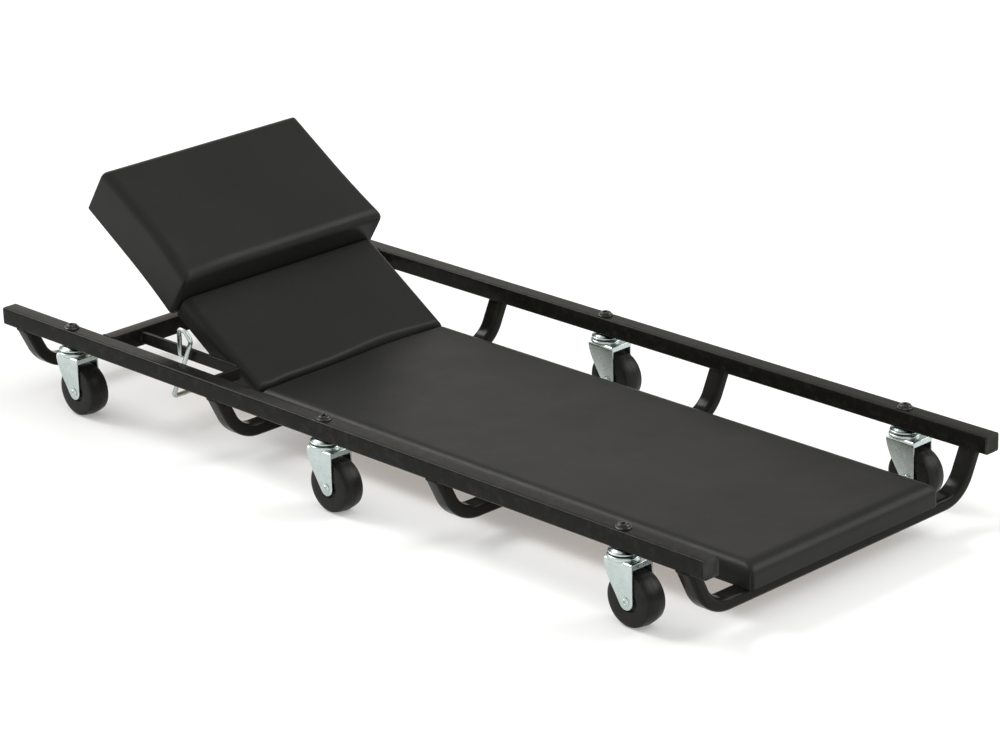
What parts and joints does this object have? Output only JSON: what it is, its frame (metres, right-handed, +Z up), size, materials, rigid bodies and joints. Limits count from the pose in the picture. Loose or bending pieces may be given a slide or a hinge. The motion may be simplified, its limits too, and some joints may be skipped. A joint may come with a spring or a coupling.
{
  "type": "mechanics creeper",
  "caption": "Low rolling board for lying on under a car: padded deck in a tube frame on swivel casters, with a hinged raised headrest and a wire bail.",
  "frame": {"origin": "centre of the bounding box on the floor, with the wheels standing on z = 0", "axes": "+X along the rails towards the foot end, +Z up, and the near side rail at -Y"},
  "size_m": [1.02, 0.4296, 0.2446],
  "materials": {
    "powder_coat": "satin",
    "cap_plastic": "satin",
    "black_steel": "satin",
    "bright_zinc": "satin",
    "wheel_rubber": "satin",
    "vinyl": "satin",
    "plywood": "matte",
    "hinge_steel": "satin"
  },
  "bodies": {
    "frame": {"side_rail_near": "powder_coat", "side_rail_far": "powder_coat", "rail_cap_near_head": "cap_plastic", "rail_cap_near_foot": "cap_plastic", "rail_cap_far_head": "cap_plastic", "rail_cap_far_foot": "cap_plastic", "cradle_tube_head": "powder_coat", "cradle_tube_neck": "powder_coat", "cradle_tube_seat": "powder_coat", "cradle_tube_foot": "powder_coat", "head_cross_bar": "powder_coat", "prop_bar_near": "powder_coat", "prop_bar_far": "powder_coat", "caster_stem_near_head": "black_steel", "caster_stem_near_middle": "black_steel", "caster_stem_near_foot": "black_steel", "caster_stem_far_head": "black_steel", "caster_stem_far_middle": "black_steel", "caster_stem_far_foot": "black_steel", "caster_race_near_head": "bright_zinc", "caster_race_near_middle": "bright_zinc", "caster_race_near_foot": "bright_zinc", "caster_race_far_head": "bright_zinc", "caster_race_far_middle": "bright_zinc", "caster_race_far_foot": "bright_zinc", "main_board": "plywood", "main_pad": "vinyl", "board_screw_near_neck": "bright_zinc", "board_screw_near_seat": "bright_zinc", "board_screw_near_foot": "bright_zinc", "board_screw_far_neck": "bright_zinc", "board_screw_far_seat": "bright_zinc", "board_screw_far_foot": "bright_zinc", "hinge_leaf_main": "hinge_steel", "hinge_pin": "hinge_steel"},
    "head_section": {"head_board": "plywood", "neck_pad": "vinyl", "head_pillow": "vinyl", "hinge_leaf_head": "hinge_steel"},
    "bail": {"bail_wire": "bright_zinc"},
    "fork_near_head": {"caster_fork_near_head": "bright_zinc", "caster_axle_near_head": "bright_zinc"},
    "wheel_near_head": {"caster_wheel_near_head": "wheel_rubber"},
    "fork_near_middle": {"caster_fork_near_middle": "bright_zinc", "caster_axle_near_middle": "bright_zinc"},
    "wheel_near_middle": {"caster_wheel_near_middle": "wheel_rubber"},
    "fork_near_foot": {"caster_fork_near_foot": "bright_zinc", "caster_axle_near_foot": "bright_zinc"},
    "wheel_near_foot": {"caster_wheel_near_foot": "wheel_rubber"},
    "fork_far_head": {"caster_fork_far_head": "bright_zinc", "caster_axle_far_head": "bright_zinc"},
    "wheel_far_head": {"caster_wheel_far_head": "wheel_rubber"},
    "fork_far_middle": {"caster_fork_far_middle": "bright_zinc", "caster_axle_far_middle": "bright_zinc"},
    "wheel_far_middle": {"caster_wheel_far_middle": "wheel_rubber"},
    "fork_far_foot": {"caster_fork_far_foot": "bright_zinc", "caster_axle_far_foot": "bright_zinc"},
    "wheel_far_foot": {"caster_wheel_far_foot": "wheel_rubber"}
  },
  "joints": [
    {"name": "head_tilt", "type": "hinge", "parent": "frame", "child": "head_section", "pos_m": [-0.187, 0, 0.0404], "axis": [0, 1, 0], "range_deg": [-12.5, 0]},
    {"name": "bail_swing", "type": "hinge", "parent": "frame", "child": "bail", "pos_m": [-0.2725, 0, 0.0812], "axis": [0, 1, 0], "range_deg": [-64, 56]},
    {"name": "swivel_near_head", "type": "hinge", "parent": "frame", "child": "fork_near_head", "pos_m": [-0.402, -0.1985, 0.07], "axis": [0, 0, 1], "continuous": true},
    {"name": "roll_near_head", "type": "hinge", "parent": "fork_near_head", "child": "wheel_near_head", "pos_m": [-0.3875, -0.1985, 0.0274], "axis": [0, 1, 0], "continuous": true},
    {"name": "swivel_near_middle", "type": "hinge", "parent": "frame", "child": "fork_near_middle", "pos_m": [-0.004, -0.1985, 0.07], "axis": [0, 0, 1], "continuous": true},
    {"name": "roll_near_middle", "type": "hinge", "parent": "fork_near_middle", "child": "wheel_near_middle", "pos_m": [0.0105, -0.1985, 0.0274], "axis": [0, 1, 0], "continuous": true},
    {"name": "swivel_near_foot", "type": "hinge", "parent": "frame", "child": "fork_near_foot", "pos_m": [0.402, -0.1985, 0.07], "axis": [0, 0, 1], "continuous": true},
    {"name": "roll_near_foot", "type": "hinge", "parent": "fork_near_foot", "child": "wheel_near_foot", "pos_m": [0.4165, -0.1985, 0.0274], "axis": [0, 1, 0], "continuous": true},
    {"name": "swivel_far_head", "type": "hinge", "parent": "frame", "child": "fork_far_head", "pos_m": [-0.402, 0.1985, 0.07], "axis": [0, 0, 1], "continuous": true},
    {"name": "roll_far_head", "type": "hinge", "parent": "fork_far_head", "child": "wheel_far_head", "pos_m": [-0.3875, 0.1985, 0.0274], "axis": [0, 1, 0], "continuous": true},
    {"name": "swivel_far_middle", "type": "hinge", "parent": "frame", "child": "fork_far_middle", "pos_m": [-0.004, 0.1985, 0.07], "axis": [0, 0, 1], "continuous": true},
    {"name": "roll_far_middle", "type": "hinge", "parent": "fork_far_middle", "child": "wheel_far_middle", "pos_m": [0.0105, 0.1985, 0.0274], "axis": [0, 1, 0], "continuous": true},
    {"name": "swivel_far_foot", "type": "hinge", "parent": "frame", "child": "fork_far_foot", "pos_m": [0.402, 0.1985, 0.07], "axis": [0, 0, 1], "continuous": true},
    {"name": "roll_far_foot", "type": "hinge", "parent": "fork_far_foot", "child": "wheel_far_foot", "pos_m": [0.4165, 0.1985, 0.0274], "axis": [0, 1, 0], "continuous": true}
  ]
}
